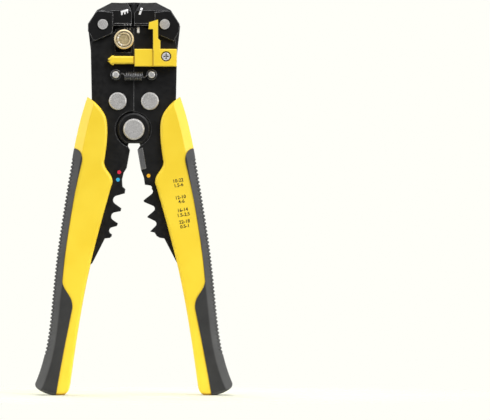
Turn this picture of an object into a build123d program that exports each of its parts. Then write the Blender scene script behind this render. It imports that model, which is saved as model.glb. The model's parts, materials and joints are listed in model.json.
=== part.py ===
from build123d import *
import math
import os

# Self-adjusting wire stripper, 205 mm long, standing upright on its handle ends.
# Origin: on the ground, midway between the handles and in the middle of the plate stack.
# +Z points to the stripping head, -Y to the face with the knob and the length stop,
# and +X to the right as that face is seen.
# Everything is drawn about the axis of the main pivot and raised by PIVOT_HEIGHT when saved.
# Outlines are (X, Z) pairs for the left half, and the right half is their mirror image
# unless it has an outline of its own.

PIVOT_HEIGHT = 138.7

# The stack of steel plates, as Y positions from front to back
PLATE_FRONT = -4.2
CORE_FRONT = -2.0
CORE_BACK = 2.0
PLATE_BACK = 4.2

SLIDE_GAP = 0.2         # between faces that slide past each other
LAP_GAP = 0.05          # between the two half discs at the pivot, and beside the washers
PIN_PLAY = 0.05         # radial play of a pin in a bore that turns on it
SPLIT = 0.02            # each half starts this far from the centre plane
EDGE_BREAK = 0.3        # small bevel on the outer edges of stamped and moulded pieces
RIM_BEVEL = 0.5         # wider bevel on rivet heads, posts and the knob

# Main pivot
BOLT_RADIUS = 2.6
BOLT_HEAD_RADIUS = 5.5
BOLT_HEAD_FRONT = -6.6
BOLT_HEAD_BEVEL = 0.7
BOLT_END = 10.8
WASHER_RADIUS = 8.5
WASHER_FLAT_Z = -7.3
WASHER_BEVEL = (0.8, 0.5)       # width and depth
RECESS_BEVEL = 0.3
LAP_RADIUS = 7.2
LAP_CLEAR_RADIUS = 7.6
LEFT_ARC_RADIUS = 9.5
RIGHT_ARC_RADIUS = 8.9
NUT_ACROSS_FLATS = 9.2
NUT_BACK = 8.6
NUT_POCKET = 7.6
NUT_RING_BACK = 9.6
NUT_RING_RADIUS = 3.4
NUT_COLLAR_RADIUS = 4.3

# Rivets, posts and jaw pins, as (X, Z) on the left half
HEAD_RIVET = (-8.4, 14.7)
HEAD_RIVET_RADIUS = 4.6
HEAD_RIVET_SHANK = 2.5
HEAD_RIVET_FRONT = -5.5
HEAD_RIVET_TAIL = 3.5
HEAD_RIVET_BACK = 5.0
SPRING_POST = (-9.35, 28.45)
SPRING_POST_RADIUS = 1.8
SPRING_POST_FRONT = -8.9
SPRING_POST_BACK = 6.5
JAW_PIN = (-16.15, 54.75)
JAW_PIN_RADIUS = 2.0
JAW_PIN_HEAD = 2.6
JAW_PIN_FRONT = -7.7
JAW_PIN_BACK = 6.5
JAW_LOBE_RADIUS = 4.2

# Return springs
SPRING_HALF_LENGTH = 4.6
SPRING_RADIUS = 2.4
SPRING_WIRE = 0.9
FRONT_SPRING = (-6.9, 27.65)
REAR_SPRING = (6.8, 28.45)
FRONT_HOOK_Y = -6.9
REAR_HOOK_Y = 5.7
HOOK_RADIUS = 2.4
HOOK_LEG_RADIUS = 0.38

# Upper jaws
EAR_FRONT = -7.0
EAR_REAR = 6.0
JAW_FACE_FRONT = -6.4
JAW_FACE_BACK = 3.8
JAW_INNER_X = {"left": -1.1, "right": -0.3}
FLANGE_FOOT = (-7.0, 61.4)      # as (Y, Z)
FLANGE_TOP = (-1.8, 66.4)       # as (Y, Z)
FLANGE_CLEAR = 4.0              # how far the sloping cut runs above the head
HEAD_REACH = 30.0               # further sideways than any part of the head
MOUTH_Z = 54.0
LOWER_JAW_TOP = 53.4
PAD_THICKNESS = 1.2
TOOTH_PITCH = 0.9
TOOTH_DEPTH = 0.5
TEETH = 6

# Stripping blades, as X positions drawn for the left
BLADE_LEFT = -3.0
BLADE_RIGHT = -1.6
BLADE_TOP = 59.0
BLADE_BOTTOM = 47.0
BLADE_LIP = 50.2        # above this height the lower blade comes through the front plate

# Tension knob, in the left half
KNOB = (-5.07, 46.9)
KNOB_RADIUS = 5.1
KNOB_GROOVE = (3.55, 4.15)        # inner and outer radius
KNOB_DISH_RADIUS = 2.85
KNOB_DEPTH = 0.5
KNOB_DINGS = (136, 162, 209, 246)       # angles in degrees
KNOB_DING_RADIUS = 0.45
KNOB_FRONT = -8.4
KNOB_BACK = -4.6
KNOB_STEM_RADIUS = 2.0
KNOB_STEM_END = 1.2

# Length stop, on the right half
STOP_LEFT = 0.47
STOP_RIGHT = 22.4
STOP_BOTTOM = 32.7
STOP_TOP = 41.8
STOP_FRONT = -11.0
STOP_STEP_X = 10.2
POINTER_FRONT = -9.4
POINTER_BEVEL = 0.7
STOP_ARM_BACK = -8.4
STOP_SCREW = (16.9, 37.9)
STOP_SCREW_HEAD = 2.05
STOP_SCREW_SHANK = 1.5
STOP_SCREW_RECESS = 2.65
STOP_SCREW_DEPTH = 1.5
STOP_BLOCK_STEP = 0.8
STOP_RAIL_Z = 38.0
STOP_TONGUE_X = 8.0
STOP_TONGUE_LENGTH = 4.0
STOP_TONGUE_HEIGHT = 4.0
STOP_TRAVEL = (-2.0, 8.0)

# Rear covers
COVER_BACK = 8.0
COVER_WALL = 1.3
COVER_BEVEL = 1.1
COVER_LOBE_ROUNDING = 1.6
COVER_DOME = (-12.2, 44.7)
COVER_DOME_RADIUS = 3.6
COVER_DOME_BACK = 10.6
COVER_SCREW = (-14.3, 34.0)
COVER_SCREW_HEAD = 2.4
COVER_SCREW_HOLE = 3.1
COVER_SCREW_SHANK = 1.4
COVER_SCREW_DEPTH = 1.6
COVER_SCREW_TIP = -1.6
CROSS_REACH = 1.5
CROSS_HALF_WIDTH = 0.35
CROSS_DEPTH = 0.8
SCREW_HEAD_HEIGHT = 1.4
BUMP_HALF_LENGTH = 11.8
BUMP_RADIUS = 4.5
BUMP_Z = 28.8
BUMP_BACK = 11.0

# Handles
SHELL_HALF = 8.5
GRIP_HALF = 9.0
HANDLE_ROUNDING = 1.6
FACET_WIDTH = 4.5
FACET_DEPTH = 3.2

# Inner edge of each lever from the pivot down to the handle, over the tips of the die teeth
LEFT_DIE_EDGE = [
    (-3.2, -8.6), (-2.1, -10.7), (-3.8, -20.1), (-5.4, -22.7), (-6.2, -26.2), (-6.0, -29.8),
    (-4.5, -31.2), (-4.8, -33.4), (-6.6, -41.2), (-7.0, -43.0), (-8.4, -49.2), (-8.9, -50.4),
    (-11.5, -54.9), (-11.7, -55.9), (-12.6, -56.7), (-15.2, -57.0), (-21.8, -69.9),
]
RIGHT_DIE_EDGE = [
    (-3.3, -8.5), (-1.9, -10.7), (-3.7, -21.1), (-5.2, -25.1), (-5.7, -28.6), (-5.1, -37.0),
    (-5.2, -37.9), (-7.1, -45.3), (-7.1, -46.0), (-8.6, -52.7), (-8.6, -53.4), (-10.8, -53.9),
    (-11.4, -54.8), (-11.8, -55.6), (-13.4, -56.6), (-15.9, -57.0), (-22.5, -69.8),
]
# Each die notch: centre of its round bottom, radius, and the upper and lower corner of its
# mouth, which lie a little outside the lever
LEFT_NOTCHES = [
    ((-8.6, -36.9), 2.3, (-2.6, -32.8), (-5.0, -42.4)),
    ((-9.7, -45.5), 2.2, (-4.0, -42.2), (-6.9, -50.1)),
    ((-11.2, -52.9), 1.75, (-6.5, -49.9), (-9.9, -55.9)),
]
RIGHT_NOTCHES = [
    ((-8.2, -30.5), 1.2, (-3.6, -28.6), (-4.0, -34.4)),
    ((-8.3, -32.4), 1.6, (-4.0, -30.4), (-3.5, -38.3)),
    ((-9.3, -41.4), 1.6, (-3.1, -37.0), (-5.6, -46.7)),
    ((-10.1, -49.3), 1.65, (-5.3, -45.1), (-7.2, -54.5)),
]


# ---- drawing helpers ----

def polygon(*points):
    """Flat outline through (X, Z) points, drawn in local X and Y."""
    return make_face(Polyline(*points, close=True))


def round_at(point, radius):
    """Flat circle about an (X, Z) point."""
    return Pos(point[0], point[1]) * Circle(radius)


def slab(outline, front, back):
    """Solid between two Y positions, with the outline seen from the front."""
    return extrude(Plane.XZ.offset(-back) * outline, amount=back - front)


def rod(point, radius, front, back):
    """Round bar along Y."""
    return slab(round_at(point, radius), front, back)


def box_xz(x_low, x_high, z_low, z_high, front, back):
    """Block between pairs of X, Z and Y positions."""
    outline = polygon((x_low, z_low), (x_high, z_low), (x_high, z_high), (x_low, z_high))
    return slab(outline, front, back)


def on_side(side, shape):
    """A shape drawn for the left half, moved to the side that is asked for."""
    if side == "left":
        return shape
    return mirror(shape, about=Plane.YZ)


def edge_face(body, front):
    """The flat face of a slab that looks forwards or backwards."""
    ordered = body.faces().filter_by(Axis.Y).sort_by(Axis.Y)
    return ordered[0] if front else ordered[-1]


def save(name, shape):
    """One STEP file for one named piece."""
    raised = Pos(0, 0, PIVOT_HEIGHT) * shape
    raised.label = name
    export_step(raised, "parts/" + name + ".step")


# ---- main pivot ----

def pivot_bolt():
    """Bolt with a flat round head; its end stands out of the lock nut."""
    head = rod((0, 0), BOLT_HEAD_RADIUS, BOLT_HEAD_FRONT, PLATE_FRONT)
    head = chamfer(edge_face(head, True).edges(), BOLT_HEAD_BEVEL)
    shank = rod((0, 0), BOLT_RADIUS, PLATE_FRONT, BOLT_END)
    shank = chamfer(edge_face(shank, False).edges(), EDGE_BREAK)
    return head + shank


def washer(front, back):
    """Ring on the pivot bolt, as thick as one plate, with a flat over the cutter's throat."""
    ring = rod((0, 0), WASHER_RADIUS, front, back)
    ring &= box_xz(-WASHER_RADIUS, WASHER_RADIUS, WASHER_FLAT_Z, WASHER_RADIUS, front, back)
    outer_face = edge_face(ring, front < 0)
    ring = chamfer(outer_face.edges(), *WASHER_BEVEL, reference=outer_face)
    return ring - rod((0, 0), BOLT_RADIUS, front, back)


def lock_nut():
    """Hexagon nut with chamfered corners and a round collar for the nylon ring."""
    corner_radius = NUT_ACROSS_FLATS / 3 ** 0.5
    nut = slab(RegularPolygon(corner_radius, 6), PLATE_BACK, NUT_BACK)
    rounding = rod((0, 0), corner_radius, PLATE_BACK, NUT_BACK)
    nut = nut & chamfer(edge_face(rounding, False).edges(), BOLT_HEAD_BEVEL)
    collar = rod((0, 0), NUT_COLLAR_RADIUS, NUT_BACK, NUT_RING_BACK)
    collar = chamfer(edge_face(collar, False).edges(), EDGE_BREAK)
    pocket = rod((0, 0), NUT_RING_RADIUS, NUT_POCKET, NUT_RING_BACK)
    return nut + collar - pocket - rod((0, 0), BOLT_RADIUS, PLATE_BACK, NUT_RING_BACK)


def lock_nut_ring():
    """Nylon ring that grips the thread."""
    back = NUT_RING_BACK - EDGE_BREAK
    ring = rod((0, 0), NUT_RING_RADIUS, NUT_POCKET, back)
    return ring - rod((0, 0), BOLT_RADIUS, NUT_POCKET, back)


# ---- return springs ----

def hook(side, hook_y):
    """Open ring round the spring post, joined to the end of the coil."""
    post = Pos(SPRING_POST[0], hook_y, SPRING_POST[1])
    ring = post * Rot(90, 0, 0) * Torus(HOOK_RADIUS, SPRING_WIRE / 2)
    start = SPRING_POST[0] + HOOK_RADIUS
    leg_length = SPRING_WIRE - SPRING_HALF_LENGTH - start
    leg = Pos(start, hook_y, SPRING_POST[1]) * Rot(0, 90, 0) * Cylinder(
        HOOK_LEG_RADIUS, leg_length, align=(Align.CENTER, Align.CENTER, Align.MIN))
    return on_side(side, ring + leg)


def return_spring(spring_y, spring_z, hook_y):
    """Extension spring across the split: a bar as wide as the coil, with a hook at each end."""
    bar = Cylinder(SPRING_RADIUS, 2 * SPRING_HALF_LENGTH)
    bar = Pos(0, spring_y, spring_z) * Rot(0, 90, 0) * bar
    return bar + hook("left", hook_y) + hook("right", hook_y)


# ---- the two halves ----

def half_outline(die_edge):
    """Plate from the split line down the lever, round the tang and up to the jaw pin."""
    tang = [(-26.0, -73.0), (-30.5, -95.0), (-36.0, -95.0), (-33.0, -60.0), (-28.0, -20.0),
            (-25.0, 5.0)]
    flank = [(-21.9, 11.6), (-22.5, 41.4), (-21.0, 51.0)]
    top = [(-11.6, 50.6), (-10.0, 50.6), (-9.6, 52.0), (-8.4, 52.6), (-5.6, 53.1), (-1.2, 53.3),
           (-SPLIT, 52.6)]
    body = polygon((-SPLIT, 0.0), *die_edge, *tang, *flank, *top)
    return body + round_at(JAW_PIN, JAW_LOBE_RADIUS)


def touch_point(corner, centre, radius, turn):
    """Point where a straight line from a corner touches a circle; turn picks the side."""
    heading = math.atan2(corner[1] - centre[1], corner[0] - centre[0])
    angle = heading + turn * math.acos(radius / math.dist(corner, centre))
    return (centre[0] + radius * math.cos(angle), centre[1] + radius * math.sin(angle))


def notch(centre, radius, upper_corner, lower_corner):
    """Crimping notch: straight flanks that run from its mouth onto a round bottom."""
    upper_touch = touch_point(upper_corner, centre, radius, 1)
    lower_touch = touch_point(lower_corner, centre, radius, -1)
    mouth = polygon(upper_corner, upper_touch, centre, lower_touch, lower_corner)
    return round_at(centre, radius) + mouth


def half_shape(side):
    """Outline of one half with its die notches, drawn for the left."""
    die_edge = LEFT_DIE_EDGE if side == "left" else RIGHT_DIE_EDGE
    shape = half_outline(die_edge)
    for values in LEFT_NOTCHES if side == "left" else RIGHT_NOTCHES:
        shape -= notch(*values)
    return shape if side == "left" else shape - cutter_outline()


def pin_holes(front, back):
    """Holes through the stack for the head rivet, spring post, jaw pin and cover screw."""
    holes = rod(HEAD_RIVET, HEAD_RIVET_SHANK, front, back)
    holes += rod(SPRING_POST, SPRING_POST_RADIUS, front, back)
    holes += rod(JAW_PIN, JAW_PIN_RADIUS, front, back)
    if back > CORE_FRONT:
        holes += rod(COVER_SCREW, COVER_SCREW_SHANK, front, back)
    return holes


def knob_slot():
    """Opening in the left front plate behind the knob."""
    return slab(polygon((-8.6, 40.0), (-1.4, 40.0), (-1.4, 51.6), (-8.6, 51.6), (-9.8, 50.4),
                        (-9.8, 41.2)), PLATE_FRONT, CORE_FRONT)


def stop_slot():
    """Slot in the right front plate for the tongue of the length stop, drawn for the right."""
    left = STOP_TONGUE_X - STOP_TONGUE_LENGTH / 2 + STOP_TRAVEL[0] - SLIDE_GAP
    right = STOP_TONGUE_X + STOP_TONGUE_LENGTH / 2 + STOP_TRAVEL[1] + SLIDE_GAP
    half_height = STOP_TONGUE_HEIGHT / 2 + PIN_PLAY
    return box_xz(left, right, STOP_RAIL_Z - half_height, STOP_RAIL_Z + half_height,
                  PLATE_FRONT, CORE_FRONT)


def cutter_outline():
    """Wire-cutter blade along the inner edge of the right lever, through the whole stack."""
    return polygon((-2.1, -10.8), (-4.6, -9.6), (-6.4, -20.4), (-3.85, -21.1))


def front_plate(side):
    """Outer steel plate at the front, cut away round the pivot washer with a bevelled edge."""
    arc = LEFT_ARC_RADIUS if side == "left" else RIGHT_ARC_RADIUS
    plate = slab(half_shape(side) - round_at((0, 0), arc), PLATE_FRONT, CORE_FRONT)
    rounds = edge_face(plate, True).edges().filter_by(GeomType.CIRCLE)
    plate = chamfer([edge for edge in rounds if round(edge.radius, 3) == arc], RECESS_BEVEL)
    plate -= pin_holes(PLATE_FRONT, CORE_FRONT)
    if side == "left":
        return plate - knob_slot()
    plate -= blade_space(BLADE_LIP, LOWER_JAW_TOP, PLATE_FRONT)
    return on_side(side, plate) - stop_slot()


def back_plate(side):
    """Outer steel plate at the back."""
    arc = RIGHT_ARC_RADIUS if side == "left" else LEFT_ARC_RADIUS
    plate = slab(half_shape(side) - round_at((0, 0), arc), CORE_BACK, PLATE_BACK)
    return on_side(side, plate - pin_holes(CORE_BACK, PLATE_BACK))


def lower_jaw_outline():
    """Block between the outer plates, below the mouth."""
    return polygon((-SPLIT, 40.2), (-9.6, 40.2), (-9.6, 50.6), (-9.2, 52.6), (-6.0, LOWER_JAW_TOP),
                   (-SPLIT, LOWER_JAW_TOP))


def core_plate(side):
    """Thick middle plate with the crimp dies. Each half has one of the two pivot discs."""
    shape = half_shape(side) - lower_jaw_outline()
    clear = shape - round_at((0, 0), LAP_CLEAR_RADIUS)
    lapped = clear + round_at((0, 0), LAP_RADIUS) + (shape & round_at((0, 0), LAP_CLEAR_RADIUS))
    lapped -= round_at((0, 0), BOLT_RADIUS + PIN_PLAY)
    bridge = slab(clear, -LAP_GAP, LAP_GAP)
    if side == "left":
        core = slab(lapped, CORE_FRONT, -LAP_GAP) + bridge + slab(clear, LAP_GAP, CORE_BACK)
    else:
        core = slab(clear, CORE_FRONT, -LAP_GAP) + bridge + slab(lapped, LAP_GAP, CORE_BACK)
    return on_side(side, core - pin_holes(CORE_FRONT, CORE_BACK))


def head_rivet(side):
    """Large rivet through the three plates, with a low domed head at the front."""
    head = rod(HEAD_RIVET, HEAD_RIVET_RADIUS, HEAD_RIVET_FRONT, PLATE_FRONT)
    head = chamfer(edge_face(head, True).edges(), RIM_BEVEL)
    tail = rod(HEAD_RIVET, HEAD_RIVET_TAIL, PLATE_BACK, HEAD_RIVET_BACK)
    return on_side(side, head + rod(HEAD_RIVET, HEAD_RIVET_SHANK, PLATE_FRONT, PLATE_BACK) + tail)


def spring_post(side):
    """Pin through the half that carries a hook of each return spring."""
    post = rod(SPRING_POST, SPRING_POST_RADIUS, SPRING_POST_FRONT, SPRING_POST_BACK)
    return on_side(side, chamfer(edge_face(post, True).edges(), RIM_BEVEL))


def jaw_pin(side):
    """Headed pin on which the upper jaw turns."""
    shank = rod(JAW_PIN, JAW_PIN_RADIUS, EAR_FRONT - PIN_PLAY, EAR_REAR + PIN_PLAY)
    front_head = rod(JAW_PIN, JAW_PIN_HEAD, JAW_PIN_FRONT, EAR_FRONT - PIN_PLAY)
    rear_head = rod(JAW_PIN, JAW_PIN_HEAD, EAR_REAR + PIN_PLAY, JAW_PIN_BACK)
    return on_side(side, shank + front_head + rear_head)


def lower_jaw(side):
    """Fixed jaw below the mouth; the left one is serrated and carries the knob's stem."""
    jaw = slab(lower_jaw_outline(), CORE_FRONT, CORE_BACK)
    if side == "left":
        jaw -= rod(KNOB, KNOB_STEM_RADIUS + PIN_PLAY, CORE_FRONT, KNOB_STEM_END + SLIDE_GAP)
        for tooth in range(TEETH):
            x = -SPLIT - TOOTH_PITCH * (tooth + 1)
            half_tooth = TOOTH_PITCH / 3
            jaw -= slab(polygon((x - half_tooth, LOWER_JAW_TOP), (x + half_tooth, LOWER_JAW_TOP),
                                (x, LOWER_JAW_TOP - TOOTH_DEPTH)), CORE_FRONT, CORE_BACK)
        return jaw
    return on_side(side, jaw - blade_space(BLADE_BOTTOM, LOWER_JAW_TOP, CORE_FRONT))


def blade_space(low, high, front):
    """Upright space of a stripping blade, drawn for the left."""
    return box_xz(BLADE_LEFT, BLADE_RIGHT, low, high, front, CORE_BACK)


def cutter_blade():
    """Hardened cutting insert through the right lever."""
    blade = slab(cutter_outline(), PLATE_FRONT - SLIDE_GAP, PLATE_BACK + SLIDE_GAP)
    return on_side("right", blade)


# ---- upper jaws ----

def jaw_block_outline(side):
    """Bridge of the upper jaw over the plates, with the sloping top flange."""
    inner_x = JAW_INNER_X[side]
    return polygon((-17.6, 60.4), (-19.2, 62.2), (-11.6, 66.2), (-3.4, 65.9), (-1.7, 62.6),
                   (inner_x, 60.6), (inner_x, MOUTH_Z + PAD_THICKNESS),
                   (-10.9, MOUTH_Z + PAD_THICKNESS), (-10.9, 60.4))


def front_ear_outline():
    """Cheek in front of the plates, round the jaw pin."""
    return polygon((-19.2, 62.2), (-23.9, 55.0), (-23.9, 51.2), (-20.9, 45.8), (-11.6, 49.7),
                   (-10.9, 51.5), (-10.9, 61.0))


def rear_ear_outline():
    """Smaller cheek behind the plates, inside the rear cover."""
    return polygon((-16.8, 60.2), (-19.6, 56.0), (-19.6, 51.5), (-12.6, 50.8), (-10.9, 55.2),
                   (-5.0, 55.2), (-5.0, 60.2))


def flange_slope():
    """Wedge that slopes the top flange back from the front face."""
    foot_y, foot_z = FLANGE_FOOT
    top_y, top_z = FLANGE_TOP
    above = top_z + FLANGE_CLEAR
    section = polygon((foot_y, foot_z), (top_y, top_z), (top_y, above), (foot_y, above))
    return extrude(Plane.YZ * section, amount=HEAD_REACH, both=True)


def upper_jaw(side):
    """Saddle-shaped jaw: two ears on the pin and a block over the mouth."""
    block = slab(jaw_block_outline(side), JAW_FACE_FRONT, JAW_FACE_BACK)
    front_ear = slab(front_ear_outline(), EAR_FRONT, PLATE_FRONT - SLIDE_GAP)
    front_ear = chamfer(edge_face(front_ear, True).edges(), EDGE_BREAK)
    rear_ear = slab(rear_ear_outline(), PLATE_BACK + SLIDE_GAP, EAR_REAR)
    rear_bridge = box_xz(-10.9, -5.0, 56.0, 60.2, JAW_FACE_BACK, PLATE_BACK + SLIDE_GAP)
    jaw = block + front_ear + rear_ear + rear_bridge
    jaw -= rod(JAW_PIN, JAW_PIN_RADIUS + PIN_PLAY, EAR_FRONT, EAR_REAR)
    jaw -= flange_slope()
    if side == "right":
        jaw -= blade_space(MOUTH_Z, BLADE_TOP, CORE_FRONT)
    return on_side(side, jaw)


def upper_pad(side):
    """Steel pad under the jaw block that meets the wire."""
    pad = box_xz(-10.6, JAW_INNER_X[side], MOUTH_Z, MOUTH_Z + PAD_THICKNESS, JAW_FACE_FRONT,
                 JAW_FACE_BACK)
    if side == "right":
        pad -= blade_space(MOUTH_Z, BLADE_TOP, CORE_FRONT)
    return on_side(side, pad)


def upper_stripping_blade():
    """Thin upright blade in the right upper jaw."""
    return on_side("right", blade_space(MOUTH_Z, BLADE_TOP, CORE_FRONT))


def lower_stripping_blade():
    """Thin upright blade in the right lower jaw, with a lip that shows at the front."""
    blade = blade_space(BLADE_BOTTOM, LOWER_JAW_TOP, CORE_FRONT)
    lip = blade_space(BLADE_LIP, LOWER_JAW_TOP, PLATE_FRONT - SLIDE_GAP)
    return on_side("right", blade + lip)


# ---- tension knob and length stop ----

def tension_knob():
    """Dished round knob with a ring groove, stamped dings and a stem in the lower jaw."""
    head = rod(KNOB, KNOB_RADIUS, KNOB_FRONT, KNOB_BACK)
    head = chamfer(edge_face(head, True).edges(), RIM_BEVEL)
    bottom = KNOB_FRONT + KNOB_DEPTH
    head -= rod(KNOB, KNOB_DISH_RADIUS, KNOB_FRONT, bottom)
    groove_inner, groove_outer = KNOB_GROOVE
    head -= rod(KNOB, groove_outer, KNOB_FRONT, bottom) - rod(KNOB, groove_inner, KNOB_FRONT, bottom)
    ding_ring = (KNOB_DISH_RADIUS + groove_inner) / 2
    for angle in KNOB_DINGS:
        ding = Vector(ding_ring, 0).rotate(Axis.Z, angle)
        head -= rod((KNOB[0] + ding.X, KNOB[1] + ding.Y), KNOB_DING_RADIUS, KNOB_FRONT, bottom)
    return head + rod(KNOB, KNOB_STEM_RADIUS, KNOB_BACK, KNOB_STEM_END)


def length_stop():
    """Sliding block with a pointer bar, an upright arm and a hook at its top."""
    back = PLATE_FRONT - SLIDE_GAP
    low_front = STOP_FRONT + STOP_BLOCK_STEP
    low_block = box_xz(STOP_LEFT, STOP_STEP_X, STOP_BOTTOM, STOP_TOP, low_front, back)
    low_block = chamfer(edge_face(low_block, True).edges(), EDGE_BREAK)
    high_block = box_xz(STOP_STEP_X, STOP_RIGHT, STOP_BOTTOM, STOP_TOP, STOP_FRONT, back)
    high_block = chamfer(edge_face(high_block, True).edges(), EDGE_BREAK)
    pointer = slab(polygon((STOP_LEFT, 34.0), (-10.3, 34.0), (-10.3, 33.5), (-11.4, 33.5),
                           (-14.05, 36.0), (-11.4, 38.4), (-10.3, 38.4), (-10.3, 38.1),
                           (STOP_LEFT, 38.1)), POINTER_FRONT, back)
    pointer = chamfer(edge_face(pointer, True).edges(), POINTER_BEVEL)
    nick = slab(polygon((-14.05, 35.6), (-11.6, 36.0), (-14.05, 36.4)), POINTER_FRONT, back)
    arm = slab(polygon((10.1, STOP_TOP - 1.0), (13.9, STOP_TOP - 1.0), (13.9, 46.2), (12.7, 47.2),
                       (12.7, 57.1), (8.0, 55.7), (7.7, 52.1), (10.1, 52.1)),
               STOP_FRONT, STOP_ARM_BACK)
    recess = rod(STOP_SCREW, STOP_SCREW_RECESS, STOP_FRONT, STOP_FRONT + STOP_SCREW_DEPTH)
    hole = rod(STOP_SCREW, STOP_SCREW_SHANK + PIN_PLAY, STOP_FRONT, back)
    half_tongue = STOP_TONGUE_LENGTH / 2
    tongue = box_xz(STOP_TONGUE_X - half_tongue, STOP_TONGUE_X + half_tongue,
                    STOP_RAIL_Z - STOP_TONGUE_HEIGHT / 2, STOP_RAIL_Z + STOP_TONGUE_HEIGHT / 2,
                    back, CORE_FRONT - SLIDE_GAP)
    return low_block + high_block + pointer - nick + arm - recess - hole + tongue


def cross_slot(point, front, back):
    """Cross-shaped screwdriver recess."""
    x, z = point
    reach, half = CROSS_REACH, CROSS_HALF_WIDTH
    level = box_xz(x - reach, x + reach, z - half, z + half, front, back)
    upright = box_xz(x - half, x + half, z - reach, z + reach, front, back)
    return level + upright


def stop_screw():
    """Cross-head screw that locks the length stop."""
    seat = STOP_FRONT + STOP_SCREW_DEPTH - LAP_GAP
    front = seat - SCREW_HEAD_HEIGHT
    head = rod(STOP_SCREW, STOP_SCREW_HEAD, front, seat)
    shank = rod(STOP_SCREW, STOP_SCREW_SHANK, seat, PLATE_FRONT - LAP_GAP)
    return head + shank - cross_slot(STOP_SCREW, front, front + CROSS_DEPTH)


# ---- rear covers ----

def cover_outline():
    """One half of the moulded cover, as seen from the front."""
    lobe = [(-3.8, 10.4), (-6.3, 8.6), (-10.3, 8.4), (-13.7, 11.2)]
    flank = [(-20.8, 25.7), (-23.9, 51.9), (-24.1, 53.9), (-19.4, 62.2), (-11.9, 66.0)]
    outline = polygon((-SPLIT, 21.0), *lobe, *flank, (-SPLIT, 66.4))
    lobe_corners = outline.vertices().sort_by(Axis.Y)[:4]
    return fillet(lobe_corners, COVER_LOBE_ROUNDING)


def spring_bump(radius, front):
    """Half-round bump with a ball end over the rear spring, cut at the split line."""
    end_x = -BUMP_HALF_LENGTH + BUMP_RADIUS
    centre_y = BUMP_BACK - BUMP_RADIUS
    length = -SPLIT - end_x
    barrel = Pos(end_x, centre_y, BUMP_Z) * Rot(0, 90, 0) * Cylinder(
        radius, length, align=(Align.CENTER, Align.CENTER, Align.MIN))
    solid = barrel + Pos(end_x, centre_y, BUMP_Z) * Sphere(radius)
    keep = box_xz(-HEAD_REACH, -SPLIT, BUMP_Z - radius, BUMP_Z + radius, front, BUMP_BACK)
    return solid & keep


def cover_dome(front):
    """Low round dome above the cover screw."""
    height = COVER_DOME_BACK - COVER_BACK
    ball_radius = (COVER_DOME_RADIUS ** 2 + height ** 2) / (2 * height)
    x, z = COVER_DOME
    ball = Pos(x, COVER_DOME_BACK - ball_radius, z) * Sphere(ball_radius)
    return ball & rod(COVER_DOME, ball_radius, front, COVER_DOME_BACK)


def rear_cover(side):
    """Hollow moulded cover with a bevelled rim, a dome, a spring bump and a screw boss."""
    front = PLATE_BACK + PIN_PLAY
    shell = slab(cover_outline(), front, COVER_BACK)
    rim = [edge for edge in edge_face(shell, False).edges() if edge.center().X < -2 * SPLIT]
    shell = chamfer(rim, COVER_BEVEL)
    middle = COVER_BACK - COVER_WALL / 2
    bump = spring_bump(BUMP_RADIUS, middle)
    dome = cover_dome(middle)
    inside = offset(cover_outline(), -COVER_WALL)
    cavity = slab(inside, front, COVER_BACK - COVER_WALL)
    channel = spring_bump(BUMP_RADIUS - COVER_WALL, front)
    boss = rod(COVER_SCREW, COVER_SCREW_HOLE + COVER_WALL, front, COVER_BACK - COVER_WALL)
    cover = shell + bump + dome - cavity - channel + boss
    cover -= rod(COVER_SCREW, COVER_SCREW_HOLE, COVER_BACK - COVER_SCREW_DEPTH, COVER_BACK)
    cover -= rod(COVER_SCREW, COVER_SCREW_SHANK, front, COVER_BACK)
    return on_side(side, cover)


def cover_screw(side):
    """Cross-head screw that holds the cover on the plates."""
    seat = COVER_BACK - COVER_SCREW_DEPTH
    top = seat + SCREW_HEAD_HEIGHT
    head = rod(COVER_SCREW, COVER_SCREW_HEAD, seat, top)
    head -= cross_slot(COVER_SCREW, top - CROSS_DEPTH, top)
    return on_side(side, head + rod(COVER_SCREW, COVER_SCREW_SHANK, COVER_SCREW_TIP, seat))


# ---- handles ----

def handle_outline():
    """Whole handle, shell and grip together, with a rounded toe that reaches the ground."""
    outer = Spline((-24.2, 16.9), (-28.9, 0.7), (-32.3, -16.0), (-36.5, -41.1), (-40.2, -66.2),
                   (-42.8, -91.2), (-45.4, -112.0), (-51.4, -132.5))
    lowest = (-38.2, -PIVOT_HEIGHT)
    toe_outer = Spline((-51.4, -132.5), (-48.6, -136.4), lowest,
                       tangents=[(-0.2, -1.0), (1.0, 0.0)])
    toe_inner = Spline(lowest, (-34.6, -137.0), (-33.4, -133.5),
                       tangents=[(1.0, 0.0), (0.15, 1.0)])
    inner = Spline((-33.4, -133.5), (-28.4, -99.6), (-23.6, -74.5), (-17.3, -49.5), (-11.7, -29.6))
    nose = Spline((-11.7, -29.6), (-11.1, -27.1), (-11.6, -24.9), (-14.5, -20.3), (-15.4, -18.1),
                  (-15.2, -15.6))
    collar = Spline((-15.2, -15.6), (-14.1, -7.0), (-13.8, 0.1), (-14.6, 6.2), (-17.0, 10.6),
                    (-24.2, 16.9))
    return make_face([outer, toe_outer, toe_inner, inner, nose, collar])


def grip_zone():
    """Area of the soft grip: everything outside its border with the hard shell."""
    start = (-33.0, -9.5)
    end = (-41.2, -142.0)
    border_top = Spline(start, (-30.6, -10.0), (-28.7, -11.1), (-27.4, -13.0), (-26.9, -15.2),
                        (-27.4, -18.5), (-30.4, -31.7), (-32.8, -44.8), (-36.6, -71.5),
                        (-37.2, -78.0))
    knee = Spline((-37.2, -78.0), (-36.8, -81.5), (-35.2, -84.5), (-33.0, -88.0), (-32.1, -91.0),
                  (-32.3, -94.6))
    border_low = Spline((-32.3, -94.6), (-35.1, -108.3), end)
    outside = Polyline(end, (-60.0, end[1]), (-60.0, start[1]), start)
    return make_face([border_top, knee, border_low, *outside.edges()])


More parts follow.
